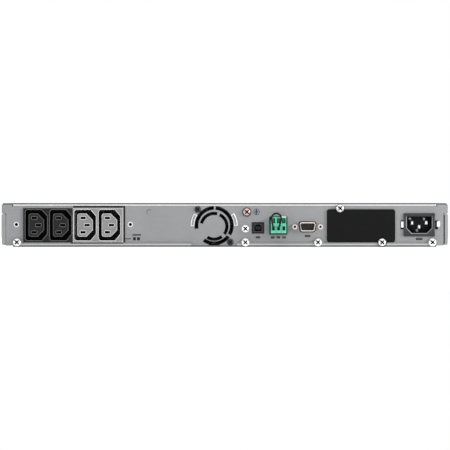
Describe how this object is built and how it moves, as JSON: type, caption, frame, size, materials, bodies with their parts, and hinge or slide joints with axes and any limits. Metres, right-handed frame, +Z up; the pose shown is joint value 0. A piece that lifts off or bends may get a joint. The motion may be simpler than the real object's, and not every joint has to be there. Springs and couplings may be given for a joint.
{
  "type": "rack-mount uninterruptible power supply",
  "caption": "Slim rack power supply with battery backup: flat zinc-grey case with mains outlets, inlet, fan and signal ports behind, a battery drawer and keypad in front.",
  "frame": {"origin": "centre of the plane where the rack ears' rear faces meet the rack's posts, at mid width and mid height", "axes": "+Y from the front towards the rear panel with its sockets, +X to the right as seen from the front, +Z up"},
  "size_m": [0.4826, 0.3876, 0.0432],
  "materials": {
    "zinc_sheet": "satin zinc-plated sheet steel",
    "cover_sheet": "satin zinc-plated sheet steel",
    "runner_steel": "satin zinc-plated strip",
    "ear_paint": "fine-textured powder coat",
    "screw_steel": "bright zinc plating",
    "black_screws": "black oxide",
    "slot_cover_paint": "black satin powder coat",
    "front_plastic": "fine-grained moulding",
    "grille_plastic": "fine-grained moulding",
    "window": "tinted gloss",
    "display": "circuit board with a display module",
    "light_pipe": "translucent moulding",
    "button_plastic": "satin moulding",
    "thumbscrew_metal": "turned and knurled",
    "battery_case": "moulded case",
    "lead_insulation": "insulated leads and boots",
    "connector_plastic": "moulded housing",
    "fan_plastic": "glass-filled moulding",
    "outlet_black": "satin moulding",
    "outlet_grey": "satin moulding",
    "contact_brass": "nickel-washed brass",
    "inlet_black": "satin moulding",
    "nickel": "nickel plating",
    "port_plastic": "moulded insulator",
    "earth_copper": "copper-tinted plating",
    "terminal_green": "satin moulding",
    "jumper_insulation": "smooth insulation",
    "circuit_board": "solder-masked board",
    "heat_sink": "extruded",
    "ferrite": "sintered core",
    "winding_tape": "taped winding",
    "component_black": "sleeved cans and relay cases"
  },
  "bodies": {
    "chassis": {"base_plate": "zinc_sheet", "battery_bay": "zinc_sheet", "bezel_grille": "grille_plastic", "capacitors": "component_black", "card_cage": "zinc_sheet", "comms_board": "circuit_board", "cover_screws": "screw_steel", "display_module": "display", "display_window": "window", "dock_connector": "connector_plastic", "fan_frame": "fan_plastic", "fan_screws": "black_screws", "front_bezel": "front_plastic", "front_frame": "zinc_sheet", "ground_screw": "earth_copper", "heat_sinks": "heat_sink", "inlet_housing": "inlet_black", "inlet_metalwork": "nickel", "internal_leads": "lead_insulation", "light_pipes": "light_pipe", "outlet_block_black": "outlet_black", "outlet_block_grey": "outlet_grey", "outlet_contacts": "contact_brass", "port_inserts": "port_plastic", "power_board": "circuit_board", "rack_ear_left": "ear_paint", "rack_ear_right": "ear_paint", "rack_runner_left": "runner_steel", "rack_runner_right": "runner_steel", "rear_panel": "zinc_sheet", "rear_screws": "screw_steel", "relays": "component_black", "serial_jacks": "nickel", "serial_shell": "nickel", "side_screws": "screw_steel", "side_wall_left": "zinc_sheet", "side_wall_right": "zinc_sheet", "slot_cover": "slot_cover_paint", "terminal_header": "terminal_green", "top_cover": "cover_sheet", "transformer_core": "ferrite", "transformer_winding": "winding_tape", "usb_shell": "nickel"},
    "fan_rotor": {"fan_rotor": "fan_plastic"},
    "terminal_plug": {"terminal_plug": "terminal_green", "terminal_clamps": "screw_steel", "jumper_wire": "jumper_insulation"},
    "battery_drawer": {"battery_tray": "zinc_sheet", "drawer_front": "front_plastic", "drawer_grille": "grille_plastic", "battery_cells": "battery_case", "battery_leads": "lead_insulation", "drawer_plug": "connector_plastic"},
    "thumbscrew_left": {"thumbscrew_left": "thumbscrew_metal"},
    "thumbscrew_right": {"thumbscrew_right": "thumbscrew_metal"},
    "power_button": {"power_button": "button_plastic"},
    "key_escape": {"key_escape": "button_plastic"},
    "key_up": {"key_up": "button_plastic"},
    "key_down": {"key_down": "button_plastic"},
    "key_enter": {"key_enter": "button_plastic"}
  },
  "joints": [
    {"name": "battery_drawer_slide", "type": "slide", "parent": "chassis", "child": "battery_drawer", "axis": [0, -1, 0], "range_m": [0, 0.3]},
    {"name": "thumbscrew_left_turn", "type": "hinge", "parent": "battery_drawer", "child": "thumbscrew_left", "pos_m": [-0.0044, -0.0225, 0], "axis": [0, -1, 0], "continuous": true},
    {"name": "thumbscrew_right_turn", "type": "hinge", "parent": "battery_drawer", "child": "thumbscrew_right", "pos_m": [0.2082, -0.0225, 0], "axis": [0, -1, 0], "continuous": true},
    {"name": "fan_spin", "type": "hinge", "parent": "chassis", "child": "fan_rotor", "pos_m": [0.0105, 0.3288, -0.0006], "axis": [0, 1, 0], "continuous": true},
    {"name": "terminal_plug_pull", "type": "slide", "parent": "chassis", "child": "terminal_plug", "axis": [0, 1, 0], "range_m": [0, 0.015]},
    {"name": "power_button_press", "type": "slide", "parent": "chassis", "child": "power_button", "axis": [0, 1, 0], "range_m": [0, 0.001], "stiffness_N_per_m": 600},
    {"name": "key_escape_press", "type": "slide", "parent": "chassis", "child": "key_escape", "axis": [0, 1, 0], "range_m": [0, 0.0006], "stiffness_N_per_m": 600},
    {"name": "key_up_press", "type": "slide", "parent": "chassis", "child": "key_up", "axis": [0, 1, 0], "range_m": [0, 0.0006], "stiffness_N_per_m": 600},
    {"name": "key_down_press", "type": "slide", "parent": "chassis", "child": "key_down", "axis": [0, 1, 0], "range_m": [0, 0.0006], "stiffness_N_per_m": 600},
    {"name": "key_enter_press", "type": "slide", "parent": "chassis", "child": "key_enter", "axis": [0, 1, 0], "range_m": [0, 0.0006], "stiffness_N_per_m": 600}
  ]
}
